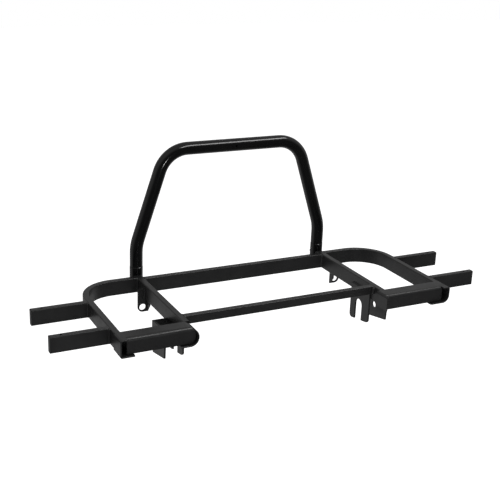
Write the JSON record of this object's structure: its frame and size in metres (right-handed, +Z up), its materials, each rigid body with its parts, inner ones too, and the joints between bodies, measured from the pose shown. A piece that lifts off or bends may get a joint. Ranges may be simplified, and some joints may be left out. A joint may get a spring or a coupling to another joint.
{
  "type": "ladder rack",
  "caption": "Vehicle ladder rack: welded tube deck with curved side rails and outboard stubs, under-deck mounting brackets, and a lift-out round-tube hoop.",
  "frame": {"origin": "midway between the two rear lug holes, at the mid-plane of the lug plates", "axes": "+X to the rack's right along its length, +Y from the front bars towards the hoop, +Z up"},
  "size_m": [1.476, 0.5165, 0.5779],
  "materials": {
    "frame_paint": "satin black powder coat",
    "hoop_paint": "semi-gloss black powder coat",
    "stub_cap": "matt black moulding",
    "fastener": "black zinc"
  },
  "bodies": {
    "frame": {"front_centre_rail": "frame_paint", "left_back_web": "frame_paint", "left_bar_back": "frame_paint", "left_cross_rail": "frame_paint", "left_face_plate": "frame_paint", "left_fork_plate": "frame_paint", "left_front_loop": "frame_paint", "left_front_stub": "frame_paint", "left_front_stub_cap": "stub_cap", "left_hoop_socket": "frame_paint", "left_lock_nut": "fastener", "left_lock_screw": "fastener", "left_outer_plate": "frame_paint", "left_rear_lug": "frame_paint", "left_rear_stub": "frame_paint", "left_rear_stub_cap": "stub_cap", "left_side_rail": "frame_paint", "rear_centre_rail": "frame_paint", "right_back_web": "frame_paint", "right_bar_back": "frame_paint", "right_cross_rail": "frame_paint", "right_face_plate": "frame_paint", "right_fork_plate": "frame_paint", "right_front_loop": "frame_paint", "right_front_stub": "frame_paint", "right_front_stub_cap": "stub_cap", "right_hoop_socket": "frame_paint", "right_lock_nut": "fastener", "right_lock_screw": "fastener", "right_outer_plate": "frame_paint", "right_rear_lug": "frame_paint", "right_rear_stub": "frame_paint", "right_rear_stub_cap": "stub_cap", "right_side_rail": "frame_paint"},
    "hoop": {"hoop": "hoop_paint", "left_hoop_spigot": "hoop_paint", "right_hoop_spigot": "hoop_paint"}
  },
  "joints": [
    {"name": "hoop_lift", "type": "slide", "parent": "frame", "child": "hoop", "axis": [0, 0, 1], "range_m": [0, 0.08]}
  ]
}
